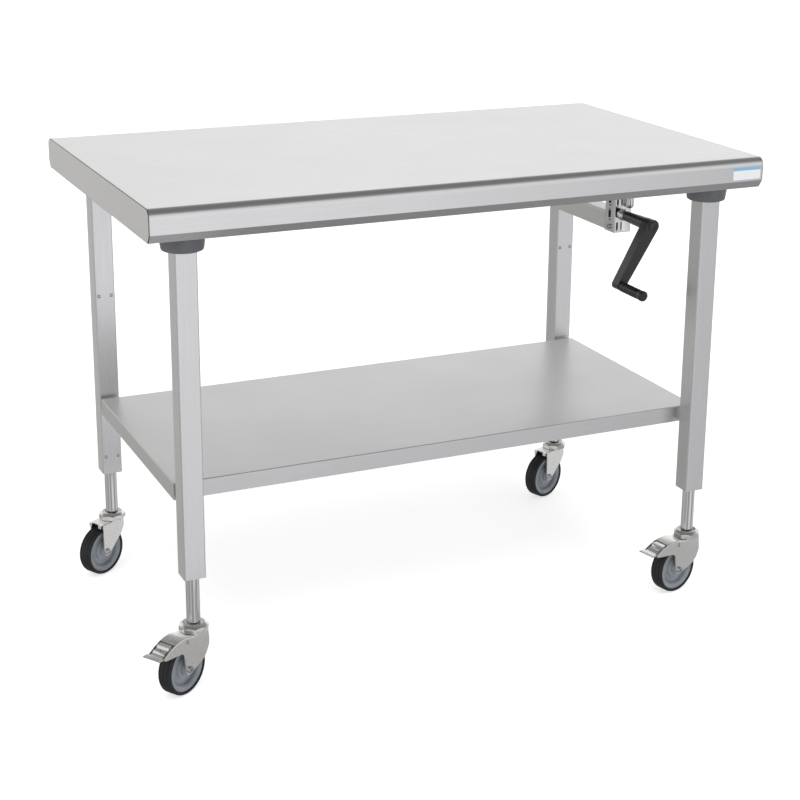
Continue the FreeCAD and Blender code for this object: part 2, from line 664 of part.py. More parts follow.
def make_pump_housing():
    """An upright block that holds the gear pump, with a plate on top that screws to the board."""
    low_x = LEG_X - PUMP_HALF_WIDTH
    high_x = LEG_X + PUMP_HALF_WIDTH
    plate_bottom = BOARD_BOTTOM - PUMP_PLATE
    block = box(low_x, high_x, PUMP_FRONT, PUMP_BACK, PUMP_BOTTOM, plate_bottom + 1)
    vertical = [edge for edge in block.Edges if abs(edge.tangentAt(edge.FirstParameter).z) > 0.9]
    block = block.makeFillet(2.0, vertical)
    plate = box(low_x - 25, high_x + 25, PUMP_FRONT - 12, PUMP_BACK + 12, plate_bottom, BOARD_BOTTOM)
    housing = fused([block, plate])
    back_bearing = section_start(GEAR_SECTIONS) + 3
    idler_height = CRANK_HEIGHT - 2 * GEAR_PITCH_RADIUS
    tools = [along_y(SHAFT_RADIUS + RUNNING_GAP, LEG_X, CRANK_HEIGHT, PUMP_FRONT - 1, back_bearing)]
    tools.append(along_y(SHAFT_RADIUS + RUNNING_GAP, LEG_X, idler_height, PUMP_FRONT + 3.5, back_bearing))
    for index in range(GEAR_SECTIONS):
        start = section_start(index)
        for height in (CRANK_HEIGHT, idler_height):
            tools.append(along_y(GEAR_OUTER_RADIUS + 0.4, LEG_X, height, start, start + GEAR_SECTION_DEPTH))
        tools.append(cylinder(LINE_BORE, (low_x - 1, LINE_PORTS[index], LINE_HEIGHT), X_AXIS, 12))
    for z_low, z_high in ((733.0, 852.0), (702.0, 729.0)):
        side_groove = groove(11.0, z_low, z_high)
        side_groove.rotate(Vector(0, 0, 0), Z_AXIS, 90)
        tools.append(moved(side_groove, low_x, (PUMP_FRONT + PUMP_BACK) / 2))
    for z_low, z_high in ((735.0, 862.0), (683.0, 702.0)):
        tools.append(moved(groove(4.5, z_low, z_high), LEG_X - 13.5, PUMP_FRONT))
        tools.append(moved(groove(3.0, z_low, z_high), LEG_X - 3.5, PUMP_FRONT))
    tools.append(cylinder(2.6, (low_x - 1, 40, 690), X_AXIS, 11))
    return cut(housing, tools)


def make_shaft_seal():
    """The cone round the shaft where it leaves the pump."""
    bore = SHAFT_RADIUS + RUNNING_GAP
    ring = turned([
        (bore, 0), (12.5, 0), (12.5, -3), (10.5, -5), (8.5, -13), (bore, -13),
    ], Y_AXIS)
    return moved(ring, LEG_X, PUMP_FRONT, CRANK_HEIGHT)


def make_check_valve():
    """A cartridge with a domed end, clamped to the front of the pump."""
    dome = [(0, 731.0), (3.5, 731.7), (6.4, 733.6), (8.3, 736.6), (9.0, 740.0)]
    body = turned(dome + [(9.0, 812.0), (7.5, 814.0), (7.5, 822.0), (0, 822.0)])
    body = moved(body, LEG_X + 10, PUMP_FRONT - 9)
    saddle = box(LEG_X + 4, LEG_X + 16, PUMP_FRONT - 8, PUMP_FRONT, 760.0, 800.0)
    return fused([body, saddle])


def make_pump_screws():
    """One socket screw low on the pump's left side, and four under its top plate."""
    low_x = LEG_X - PUMP_HALF_WIDTH
    head = turned([(0, 0), (5.2, 0), (5.2, 3.4), (4.6, 4), (2.4, 4), (2.4, 1.8), (0, 1.8)])
    shank = upright(2.55, 0, 0, -8, 0)
    side_screw = fused([head, shank])
    side_screw.rotate(Vector(0, 0, 0), Y_AXIS, -90)
    screws = [moved(side_screw, low_x, 40, 690)]
    for x in (low_x - 14, LEG_X + PUMP_HALF_WIDTH + 14):
        for y in (PUMP_FRONT - 4, PUMP_BACK + 4):
            plate_screw = head.copy()
            plate_screw.rotate(Vector(0, 0, 0), X_AXIS, 180)
            screws.append(moved(plate_screw, x, y, BOARD_BOTTOM - PUMP_PLATE))
    return screws


def make_oil_tank():
    """A closed square tube from the pump to the back right leg."""
    low_x = LEG_X - PUMP_HALF_WIDTH
    high_x = LEG_X + PUMP_HALF_WIDTH
    end = LEG_Y - LEG_HALF
    top = TANK_BOTTOM + LEG_SIZE
    tank = box(low_x, high_x, PUMP_BACK, end, TANK_BOTTOM, top)
    long_edges = [edge for edge in tank.Edges if abs(edge.tangentAt(edge.FirstParameter).y) > 0.9]
    tank = tank.makeFillet(2.5, long_edges)
    wall = LEG_WALL
    inside = box(low_x + wall, high_x - wall, PUMP_BACK - 1, end - wall, TANK_BOTTOM + wall, top - wall)
    return tank.cut(inside)


def make_crank_arm():
    """Hub on the shaft, a tapered arm, and a round cap on the elbow."""
    hub_start = Vector(LEG_X, HUB_START, CRANK_HEIGHT)
    hub = Part.makeCone(HUB_RADIUS, HUB_END_RADIUS, HUB_START - ARM_BACK, hub_start, -Y_AXIS)
    depth = ARM_BACK - ARM_FRONT
    across = Vector(math.cos(CRANK_ANGLE), 0, -math.sin(CRANK_ANGLE))
    top = Vector(LEG_X, ARM_FRONT, CRANK_HEIGHT)
    end = Vector(GRIP_X, ARM_FRONT, GRIP_Z)
    corners = [
        top + across * ARM_TOP_RADIUS, end + across * ARM_END_RADIUS,
        end - across * ARM_END_RADIUS, top - across * ARM_TOP_RADIUS,
    ]
    bar = polygon_prism([tuple(corner) for corner in corners], Vector(0, depth, 0))
    top_round = along_y(ARM_TOP_RADIUS, LEG_X, CRANK_HEIGHT, ARM_FRONT, ARM_BACK)
    end_round = along_y(ARM_END_RADIUS, GRIP_X, GRIP_Z, ARM_FRONT, ARM_BACK)
    cap = along_y(10.5, LEG_X, CRANK_HEIGHT, ARM_FRONT - 1.5, ARM_FRONT)
    arm = fused([hub, bar, top_round, end_round, cap])
    shaft_hole = along_y(SHAFT_RADIUS + 0.02, LEG_X, CRANK_HEIGHT, -60, HUB_START + 1)
    pin_hole = along_y(GRIP_PIN_RADIUS + 0.02, GRIP_X, GRIP_Z, ARM_FRONT - 1, ARM_FRONT + 14)
    ring = along_y(7.0, LEG_X, CRANK_HEIGHT, ARM_FRONT - 2, ARM_FRONT - 0.9)
    return cut(arm, [shaft_hole, pin_hole, ring])


def make_grip():
    """A ribbed sleeve that turns on the pin, closed at its outer end."""
    bore = GRIP_PIN_RADIUS + RUNNING_GAP
    length = GRIP_START - GRIP_END
    profile = [(bore, 0), (GRIP_RADIUS - 1.5, 0), (GRIP_RADIUS, 2)]
    pitch = (length - 14) / GRIP_RIBS
    for index in range(GRIP_RIBS):
        start = 4 + index * pitch
        profile += [(GRIP_RADIUS, start + 1), (GRIP_RADIUS - 1.2, start + 2.4)]
        profile += [(GRIP_RADIUS - 1.2, start + pitch - 2.2), (GRIP_RADIUS, start + pitch - 1)]
    profile += [(GRIP_RADIUS + 0.5, length - 7), (GRIP_RADIUS + 0.5, length - 2), (GRIP_RADIUS - 1.5, length)]
    profile += [(0, length), (0, length - 6), (bore, length - 6)]
    grip = turned([(radius, -y) for radius, y in profile], Y_AXIS)
    return moved(grip, GRIP_X, GRIP_START, GRIP_Z)


def make_crank_and_pump():
    save("pump_housing", make_pump_housing())
    save("shaft_seal", make_shaft_seal())
    save("check_valve", make_check_valve())
    save("pump_screws", make_pump_screws())
    save("oil_tank", make_oil_tank())
    shaft_end = section_start(GEAR_SECTIONS) + 2.5
    save("crank_shaft", make_gear_shaft(0.0, CRANK_HEIGHT, -59.5, shaft_end))
    half_tooth = math.pi / GEAR_TEETH
    idler_height = CRANK_HEIGHT - 2 * GEAR_PITCH_RADIUS
    save("idler_gear_shaft", make_gear_shaft(half_tooth + math.pi, idler_height, PUMP_FRONT + 4, shaft_end))
    save("crank_arm", make_crank_arm())
    save("grip_pin", along_y(GRIP_PIN_RADIUS, GRIP_X, GRIP_Z, GRIP_END + 8, ARM_FRONT + 13.5))
    save("crank_grip", make_grip())


# ---------------------------------------------------------------- hydraulic lines


def line_route(side_x, side_y, port):
    """From a port on the pump's left side, across, along and into a cylinder head."""
    start = Vector(LEG_X - PUMP_HALF_WIDTH, port, LINE_HEIGHT)
    turn_x = side_x * LINE_TURN_X
    end_x = side_x * (LEG_X - CYLINDER_HEAD_RADIUS)
    return [
        start, Vector(turn_x, port, LINE_HEIGHT), Vector(turn_x, side_y * LEG_Y, LINE_HEIGHT),
        Vector(end_x, side_y * LEG_Y, LINE_HEIGHT),
    ]


def rounded_wire(points, radius):
    """Straight runs joined by arcs that touch both runs."""
    edges = []
    last = points[0]
    for before, corner, after in zip(points, points[1:], points[2:]):
        back = (before - corner).normalize()
        ahead = (after - corner).normalize()
        arc_start = corner + back * radius
        arc_end = corner + ahead * radius
        middle = corner + (back + ahead) * radius * (1 - math.sqrt(0.5))
        edges.append(Part.makeLine(last, arc_start))
        edges.append(Part.Arc(arc_start, middle, arc_end).toShape())
        last = arc_end
    edges.append(Part.makeLine(last, points[-1]))
    return Part.Wire(edges)


def make_line(side_x, side_y, port):
    route = line_route(side_x, side_y, port)
    wire = rounded_wire(route, LINE_BEND)
    direction = (route[1] - route[0]).normalize()
    tubes = []
    for radius in (LINE_RADIUS, LINE_BORE):
        circle = Part.Wire(Part.makeCircle(radius, route[0], direction))
        tubes.append(wire.makePipeShell([circle], True, True))
    return tubes[0].cut(tubes[1])


def make_line_clips():
    """Plastic blocks screwed under the board that hold the two long lines."""
    clips = []
    low = LINE_PORTS[1] - LINE_RADIUS - 4
    high = LINE_PORTS[2] + LINE_RADIUS + 4
    for x in (-330, 0, 330):
        block = box(x - 7, x + 7, low, high, LINE_HEIGHT - LINE_RADIUS - 3, BOARD_BOTTOM)
        holes = [
            cylinder(LINE_RADIUS + 0.05, (x - 8, port, LINE_HEIGHT), X_AXIS, 16)
            for port in LINE_PORTS[1:3]
        ]
        clips.append(cut(block, holes))
    return clips


def make_lines():
    routes = ((1, -1), (-1, -1), (-1, 1), (1, 1))
    lines = [make_line(side_x, side_y, port) for (side_x, side_y), port in zip(routes, LINE_PORTS)]
    save("hydraulic_lines", lines)
    save("line_clips", make_line_clips())


# ---------------------------------------------------------------- whole table


def make_frame():
    corners = [(name, side_x, side_y) for name, side_x, side_y, angle, braked in CASTORS]
    save("rail_front", make_rail(-1))
    save("rail_back", make_rail(1))
    for name, side_x, side_y in corners:
        save("leg_tube_" + name, make_leg_tube(side_x, side_y))
    groups = {
        "leg_collars": make_leg_collar, "guide_bushes": make_guide_bushes,
        "bush_screws": make_bush_screws, "lift_cylinders": make_lift_cylinder,
        "shelf_brackets": make_shelf_bracket,
    }
    for node, maker in groups.items():
        pieces = []
        for name, side_x, side_y in corners:
            made = maker(side_x, side_y)
            pieces += made if isinstance(made, list) else [made]
        save(node, pieces)


os.makedirs(OUTPUT_FOLDER, exist_ok=True)
make_worktop()
make_frame()
save("shelf_tray", make_shelf())
make_castors()
make_crank_and_pump()
make_lines()
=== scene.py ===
import json
import math

import bmesh
import bpy
from mathutils import Euler, Matrix, Vector

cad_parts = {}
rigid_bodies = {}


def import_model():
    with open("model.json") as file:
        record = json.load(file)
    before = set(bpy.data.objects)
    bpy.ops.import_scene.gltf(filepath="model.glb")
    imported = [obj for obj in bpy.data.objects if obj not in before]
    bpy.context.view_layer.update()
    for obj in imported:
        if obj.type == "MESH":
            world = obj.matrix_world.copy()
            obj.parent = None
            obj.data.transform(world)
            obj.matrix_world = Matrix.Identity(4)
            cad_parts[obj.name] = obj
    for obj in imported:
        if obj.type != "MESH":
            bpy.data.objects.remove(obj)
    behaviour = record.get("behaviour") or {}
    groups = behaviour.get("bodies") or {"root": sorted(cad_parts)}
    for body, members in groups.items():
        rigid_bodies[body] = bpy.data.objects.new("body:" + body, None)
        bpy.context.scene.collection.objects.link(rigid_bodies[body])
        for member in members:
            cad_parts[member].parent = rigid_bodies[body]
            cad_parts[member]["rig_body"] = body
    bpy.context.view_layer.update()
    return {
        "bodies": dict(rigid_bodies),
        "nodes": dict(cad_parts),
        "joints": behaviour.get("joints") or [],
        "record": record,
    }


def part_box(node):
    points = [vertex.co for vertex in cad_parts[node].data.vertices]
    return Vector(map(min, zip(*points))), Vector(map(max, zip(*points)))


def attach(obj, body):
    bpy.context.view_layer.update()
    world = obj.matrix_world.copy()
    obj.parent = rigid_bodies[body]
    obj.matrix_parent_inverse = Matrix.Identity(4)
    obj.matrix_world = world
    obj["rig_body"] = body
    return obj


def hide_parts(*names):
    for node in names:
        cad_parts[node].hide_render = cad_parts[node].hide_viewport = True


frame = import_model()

CORNERS = ("front_left", "front_right", "back_left", "back_right")
BRAKED = ("front_left", "front_right")

# Camera
CAMERA_PLACE = (-1.3374, -2.9804, 1.5173)
CAMERA_HEADING = 25.12
CAMERA_PITCH = 16.45
CAMERA_ROLL = 0.66
CAMERA_LENS = 77.12
CAMERA_SHIFT = (-0.032, -0.1)

# Studio
FLOOR_RADIUS = 60.0
BACKDROP_RADIUS = 61.0
FLOOR_COLOUR = (0.90, 0.90, 0.90)
FLOOR_COLOUR_DARK = (0.88, 0.88, 0.88)
FLOOR_GLOW = 0.63
# A grey card in front of the table that only reflections see: painted shade, darkening the floor that the
# lower legs reflect.
CARD_X = (-0.46, -0.22)
CARD_Y = (-0.68, -0.22)
CARD_Z = 0.002
REFLECTED_SHADE_COLOUR = (0.60, 0.60, 0.60)
SUN_STRENGTH = 1.1
SUN_ANGLE = 50.0
SUN_TILT = (20.0, -8.0)

# The world's light. Each ramp lists (position, colour). Height runs from straight down at 0 to straight
# up at 1. Bearing runs once round, from -X through -Y at 0.25, +X at 0.5 and +Y at 0.75. The low ramp
# fades into the high one between two levels, given as the upward part of a direction of length 1.
WORLD_BY_HEIGHT = (
    (0.00, (0.36, 0.36, 0.36)),
    (0.14, (0.40, 0.40, 0.40)),
    (0.32, (0.82, 0.82, 0.82)),
    (0.50, (0.98, 0.98, 0.98)),
    (0.70, (0.98, 0.98, 0.98)),
    (0.84, (0.26, 0.26, 0.26)),
    (1.00, (0.20, 0.20, 0.20)),
)
LOW_WORLD_BY_BEARING = (
    (0.00, (0.58, 0.57, 0.55)),
    (0.06, (0.42, 0.42, 0.41)),
    (0.12, (0.85, 0.84, 0.83)),
    (0.17, (0.40, 0.40, 0.41)),
    (0.21, (0.46, 0.46, 0.47)),
    (0.26, (0.98, 0.98, 1.01)),
    (0.305, (1.08, 1.08, 1.11)),
    (0.335, (0.78, 0.78, 0.795)),
    (0.350, (0.76, 0.76, 0.775)),
    (0.37, (0.34, 0.34, 0.35)),
    (0.41, (0.42, 0.42, 0.43)),
    (0.45, (0.90, 0.90, 0.91)),
    (0.52, (0.72, 0.72, 0.73)),
    (0.58, (0.50, 0.50, 0.50)),
    (0.63, (1.00, 1.00, 1.00)),
    (0.69, (1.00, 1.00, 1.00)),
    (0.73, (0.86, 0.86, 0.85)),
    (0.795, (0.64, 0.63, 0.615)),
    (0.85, (0.34, 0.34, 0.335)),
    (0.90, (0.66, 0.65, 0.63)),
    (1.00, (0.58, 0.57, 0.55)),
)
HIGH_WORLD_BY_BEARING = (
    (0.00, (0.80, 0.80, 0.79)),
    (0.18, (0.76, 0.76, 0.76)),
    (0.38, (0.84, 0.84, 0.85)),
    (0.52, (0.84, 0.84, 0.85)),
    (0.63, (1.00, 1.00, 1.00)),
    (0.69, (1.00, 1.00, 1.00)),
    (0.73, (0.92, 0.92, 0.91)),
    (0.86, (0.82, 0.82, 0.81)),
    (1.00, (0.80, 0.80, 0.79)),
)
LOW_WORLD_TOP = -0.06
HIGH_WORLD_START = 0.12

# Materials
NOISE_DETAIL = 3.0
GRAIN_LONG = 5
GRAIN_FINE = 1700
SCRATCH_SPREAD = 0.05
HANDLING_SCALE = 7.0
HANDLING_SPREAD = (-0.010, 0.014)
LABEL_WHITE = (0.80, 0.82, 0.84)
LABEL_BLUE = (0.22, 0.46, 0.66)

# Softened edges: the width of the bevel and its segments
SOFT_CASTING = (0.0012, 3)
SOFT_COLLAR = (0.0045, 5)
SOFT_SHEET = (0.0004, 2)
# The end plates' bevel, which carries the painted edge shade.
SOFT_PLATE_EDGE = (0.0007, 2)
SOFT_FORK = (0.0005, 2)

# The label on the front apron, in metres
LABEL_X = (0.533, 0.594)
LABEL_Z = (0.8605, 0.8840)
LABEL_BAND = 0.006
LABEL_BAND_FADE = 0.0003
LABEL_THICKNESS = 0.0002
LABEL_CORNER = 0.002

# Painted shade in the pump block's grooves: thin dark strips, in metres. The front grooves are given by
# their distance from the crank's axis and half the strip's width, the side grooves by the far wall that
# shows.
PUMP_FACE = 0.020
PUMP_FRONT_FLOOR = (PUMP_FACE + 0.0024, PUMP_FACE + 0.0031)
PUMP_FRONT_GROOVES = ((-0.0135, 0.00215), (-0.0035, 0.0014))
PUMP_FRONT_LEVELS = ((0.738, 0.858), (0.685, 0.700))
PUMP_PLATE_OVERHANG = 0.025
PUMP_SIDE_WALL = PUMP_FACE + 0.020 + 0.0055
PUMP_SIDE_LEVELS = ((0.7385, 0.8465), (0.7075, 0.7235))
PUMP_SIDE_SPAN = (0.0004, 0.0028)
PUMP_SIDE_DEPTH = (0.0007, 0.0001)
PUMP_SIDE_CORNER = 0.0010

# The tyre, in metres. Places in its section are (radius, distance along the axle). The tread drops by
# the crown times the square of the distance from its middle. An arc's angles are in degrees, from the axle.
TYRE_RADIUS = 0.050
TYRE_INNER = 0.043
TYRE_SEAT = 0.0120
TYRE_CROWN = 4.0
BEAD_CENTRE = (0.0452, 0.0130)
BEAD_RADIUS = 0.0019
BEAD_ARC = (-60, 60)
SHOULDER_CENTRE = (0.0458, 0.0098)
SHOULDER_RADIUS = 0.0041
SHOULDER_ARC = (28, 78)
TYRE_GROOVES = (0.0082, 0.0)
GROOVE_DEPTH = 0.0008
GROOVE_HALF_WIDTH = 0.0005

# The plug in the crank arm, in metres: (radius, distance in front of the arm's face)
CRANK_CAP_PROFILE = (
    (0.0001, 0.0006), (0.0070, 0.0006), (0.0080, 0.0002), (0.0082, -0.0006), (0.0001, -0.0006),
)


# ---------------------------------------------------------------- studio


def make_camera():
    data = bpy.data.cameras.new("camera")
    data.lens = CAMERA_LENS
    data.shift_x, data.shift_y = CAMERA_SHIFT
    data.clip_end = 200.0
    camera = bpy.data.objects.new("camera", data)
    bpy.context.scene.collection.objects.link(camera)
    heading = Matrix.Rotation(-math.radians(CAMERA_HEADING), 4, "Z")
    pitch = Matrix.Rotation(math.radians(90 - CAMERA_PITCH), 4, "X")
    roll = Matrix.Rotation(math.radians(CAMERA_ROLL), 4, "Z")
    camera.matrix_world = Matrix.Translation(CAMERA_PLACE) @ heading @ pitch @ roll
    bpy.context.scene.camera = camera


def world_ramp(tree, value, stops):
    ramp = tree.nodes.new("ShaderNodeValToRGB")
    tree.links.new(value, ramp.inputs["Fac"])
    elements = ramp.color_ramp.elements
    while len(elements) < len(stops):
        elements.new(0.5)
    for element, (position, colour) in zip(elements, stops):
        element.position = position
        element.color = (*colour, 1)
    return ramp.outputs["Color"]


def world_range(tree, value, low, high):
    node = tree.nodes.new("ShaderNodeMapRange")
    node.inputs["From Min"].default_value = low
    node.inputs["From Max"].default_value = high
    tree.links.new(value, node.inputs["Value"])
    return node.outputs["Result"]


def make_world():
    """A soft light tent: bright round the horizon, dim overhead and underfoot, with dark gaps low down."""
    world = bpy.data.worlds.new("studio")
    world.use_nodes = True
    tree = world.node_tree
    coordinates = tree.nodes.new("ShaderNodeTexCoord")
    split = tree.nodes.new("ShaderNodeSeparateXYZ")
    bearing = tree.nodes.new("ShaderNodeMath")
    bearing.operation = "ARCTAN2"
    product = tree.nodes.new("ShaderNodeMix")
    product.data_type = "RGBA"
    product.blend_type = "MULTIPLY"
    product.inputs["Factor"].default_value = 1.0
    tree.links.new(coordinates.outputs["Generated"], split.inputs[0])
    tree.links.new(split.outputs["Y"], bearing.inputs[0])
    tree.links.new(split.outputs["X"], bearing.inputs[1])
    height = world_range(tree, split.outputs["Z"], -1.0, 1.0)
    turn = world_range(tree, bearing.outputs[0], -math.pi, math.pi)
    level = tree.nodes.new("ShaderNodeMix")
    level.data_type = "RGBA"
    share = world_range(tree, split.outputs["Z"], LOW_WORLD_TOP, HIGH_WORLD_START)
    tree.links.new(share, level.inputs["Factor"])
    tree.links.new(world_ramp(tree, turn, LOW_WORLD_BY_BEARING), level.inputs["A"])
    tree.links.new(world_ramp(tree, turn, HIGH_WORLD_BY_BEARING), level.inputs["B"])
    tree.links.new(world_ramp(tree, height, WORLD_BY_HEIGHT), product.inputs["A"])
    tree.links.new(level.outputs["Result"], product.inputs["B"])
    tree.links.new(product.outputs["Result"], tree.nodes["Background"].inputs["Color"])
    bpy.context.scene.world = world


def make_lights():
    """One broad light from above, slightly from the front, that lights the floor evenly."""
    data = bpy.data.lights.new("overhead", "SUN")
    data.energy = SUN_STRENGTH
    data.angle = math.radians(SUN_ANGLE)
    light = bpy.data.objects.new("overhead", data)
    bpy.context.scene.collection.objects.link(light)
    light.rotation_euler = Euler((math.radians(SUN_TILT[0]), math.radians(SUN_TILT[1]), 0))
    light.visible_glossy = False


def make_floor():
    """A pale floor that stays under the wheels when the lift moves the table up or down."""
    mesh = bpy.data.meshes.new("floor")
    shape = bmesh.new()
    bmesh.ops.create_circle(shape, cap_ends=True, segments=96, radius=FLOOR_RADIUS)
    shape.to_mesh(mesh)
    shape.free()
    floor = bpy.data.objects.new("floor", mesh)
    bpy.context.scene.collection.objects.link(floor)
    material = Material("floor_paint", FLOOR_COLOUR, 0.0, 0.85)
    material.vary_colour(0.6, FLOOR_COLOUR, FLOOR_COLOUR_DARK)
    material.set("Emission Color", (1, 1, 1, 1))
    material.set("Emission Strength", FLOOR_GLOW)
    floor.data.materials.append(material.data)
    floor.visible_glossy = False
    floor.parent = frame["bodies"]["lift_front_left"]


def make_backdrop():
    """A plain white dome behind everything, so that the floor runs into the background without a line."""
    mesh = bpy.data.meshes.new("backdrop")
    shape = bmesh.new()
    bmesh.ops.create_uvsphere(shape, u_segments=64, v_segments=32, radius=BACKDROP_RADIUS)
    shape.to_mesh(mesh)
    shape.free()
    backdrop = bpy.data.objects.new("backdrop", mesh)
    bpy.context.scene.collection.objects.link(backdrop)
    material = Material("backdrop_paint", (0, 0, 0), 0.0, 1.0)
    material.set("Specular IOR Level", 0.0)
    material.set("Emission Color", (1, 1, 1, 1))
    material.set("Emission Strength", 1.0)
    mesh.materials.append(material.data)
    backdrop.visible_diffuse = False
    backdrop.visible_glossy = False
    backdrop.visible_transmission = False
    backdrop.visible_shadow = False


def make_card():
    """Painted shade in reflections: a grey card on the floor in front of the table, giving the lower legs a
    darker floor to reflect. Only reflections see it.
    """
    (x_low, x_high), (y_low, y_high) = CARD_X, CARD_Y
    mesh = bpy.data.meshes.new("shade_card")
    corners = [(x_low, y_low), (x_high, y_low), (x_high, y_high), (x_low, y_high)]
    mesh.from_pydata([(x, y, CARD_Z) for x, y in corners], [], [(0, 1, 2, 3)])
    card = bpy.data.objects.new("shade_card", mesh)
    bpy.context.scene.collection.objects.link(card)
    mesh.materials.append(Material("reflected_floor_shade", REFLECTED_SHADE_COLOUR, 0.0, 0.9).data)
    card.visible_camera = False
    card.visible_diffuse = False
    card.visible_shadow = False
    card.parent = frame["bodies"]["lift_front_left"]


# ---------------------------------------------------------------- materials


class Material:
    """A procedural material: one main shader, with colour, roughness and bump fed by noise."""

    def __init__(self, name, colour, metallic, roughness):
        self.data = bpy.data.materials.new(name)
        self.data.use_nodes = True
        self.nodes = self.data.node_tree.nodes
        self.links = self.data.node_tree.links
        self.shader = self.nodes["Principled BSDF"]
        self.shader.inputs["Base Color"].default_value = (*colour, 1)
        self.shader.inputs["Metallic"].default_value = metallic
        self.shader.inputs["Roughness"].default_value = roughness

    def set(self, socket, value):
        self.shader.inputs[socket].default_value = value

    def noise(self, scale, stretch=(1, 1, 1)):
        """A noise texture over the object's own space. Stretch squeezes the pattern along each axis."""
        coordinates = self.nodes.new("ShaderNodeTexCoord")
        mapping = self.nodes.new("ShaderNodeMapping")
        texture = self.nodes.new("ShaderNodeTexNoise")
        mapping.inputs["Scale"].default_value = stretch
        texture.inputs["Scale"].default_value = scale
        texture.inputs["Detail"].default_value = NOISE_DETAIL
        self.links.new(coordinates.outputs["Object"], mapping.inputs["Vector"])
        self.links.new(mapping.outputs["Vector"], texture.inputs["Vector"])
        return texture.outputs["Fac"]

    def ranged(self, value, low, high, start=0.3, end=0.7):
        """A value between start and end, spread over low to high."""
        node = self.nodes.new("ShaderNodeMapRange")
        node.inputs["From Min"].default_value = start
        node.inputs["From Max"].default_value = end
        node.inputs["To Min"].default_value = low
        node.inputs["To Max"].default_value = high
        self.links.new(value, node.inputs["Value"])
        return node.outputs["Result"]

    def vary_colour(self, scale, light, dark, stretch=(1, 1, 1)):
        mix = self.nodes.new("ShaderNodeMix")
        mix.data_type = "RGBA"
        mix.inputs["A"].default_value = (*dark, 1)
        mix.inputs["B"].default_value = (*light, 1)
        share = self.ranged(self.noise(scale, stretch), 0.0, 1.0)
        self.links.new(share, mix.inputs["Factor"])
        self.links.new(mix.outputs["Result"], self.shader.inputs["Base Color"])

    def vary_roughness(self, scale, low, high):
        value = self.ranged(self.noise(scale), low, high)
        self.links.new(value, self.shader.inputs["Roughness"])

    def add_bump(self, scale, strength, stretch=(1, 1, 1), distance=0.0004):
        bump = self.nodes.new("ShaderNodeBump")
        bump.inputs["Strength"].default_value = strength
        bump.inputs["Distance"].default_value = distance
        self.links.new(self.noise(scale, stretch), bump.inputs["Height"])
        self.links.new(bump.outputs["Normal"], self.shader.inputs["Normal"])


def brushed_steel(name, colour, roughness, grain, strength=0.12, patch=0.03):
    """Stainless steel with fine parallel scratches. Grain is long along the brushing direction."""
    material = Material(name, colour, 1.0, roughness)
    light = tuple(channel + patch for channel in colour)
    dark = tuple(channel - patch for channel in colour)
    material.vary_colour(1.0, light, dark, grain)
    scratches = material.ranged(
        material.noise(1.7, grain), roughness - SCRATCH_SPREAD, roughness + SCRATCH_SPREAD
    )
    handling = material.ranged(material.noise(HANDLING_SCALE), *HANDLING_SPREAD)
    total = material.nodes.new("ShaderNodeMath")
    material.links.new(scratches, total.inputs[0])
    material.links.new(handling, total.inputs[1])
    material.links.new(total.outputs[0], material.shader.inputs["Roughness"])
    material.add_bump(2.3, strength, grain, distance=0.0002)
    return material.data


def polished_metal(name, colour, roughness, scale=90.0):
    """Chrome, zinc or other smooth metal with a faint haze."""
    material = Material(name, colour, 1.0, roughness)
    dark = tuple(channel * 0.9 for channel in colour)
    material.vary_colour(scale / 4, colour, dark)
    material.vary_roughness(scale, roughness * 0.7, roughness * 1.5)
    material.add_bump(scale * 3, 0.04, distance=0.0001)
    return material.data


def moulded_plastic(name, colour, roughness, texture_scale=2200.0, strength=0.12, specular=0.5):
    """Plastic or rubber with a fine moulded texture and uneven gloss."""
    material = Material(name, colour, 0.0, roughness)
    material.set("Specular IOR Level", specular)
    light = tuple(channel * 1.15 for channel in colour)
    dark = tuple(channel * 0.88 for channel in colour)
    material.vary_colour(40.0, light, dark)
    material.vary_roughness(120.0, roughness - 0.06, roughness + 0.08)
    material.add_bump(texture_scale, strength, distance=0.0001)
    return material.data


def coated_board(name):
    """Moisture-proof board with a grey paper facing, slightly mottled."""
    material = Material(name, (0.24, 0.24, 0.235), 0.0, 0.6)
    material.vary_colour(160.0, (0.27, 0.27, 0.265), (0.21, 0.21, 0.205), (0.4, 1, 1))
    material.vary_roughness(60.0, 0.52, 0.68)
    material.add_bump(500.0, 0.2)
    return material.data


def blank_label(name, low, high):
    """A plain white sticker with an empty blue band along its top."""
    material = Material(name, LABEL_WHITE, 0.0, 0.35)
    coordinates = material.nodes.new("ShaderNodeTexCoord")
    split = material.nodes.new("ShaderNodeSeparateXYZ")
    mix = material.nodes.new("ShaderNodeMix")
    mix.data_type = "RGBA"
    mix.inputs["A"].default_value = (*LABEL_WHITE, 1)
    mix.inputs["B"].default_value = (*LABEL_BLUE, 1)
    material.links.new(coordinates.outputs["Object"], split.inputs[0])
    band = material.ranged(split.outputs["Z"], 0.0, 1.0, low, high)
    material.links.new(band, mix.inputs["Factor"])
    material.links.new(mix.outputs["Result"], material.shader.inputs["Base Color"])
    material.vary_roughness(90.0, 0.28, 0.42)
    material.add_bump(700.0, 0.08)
    return material.data


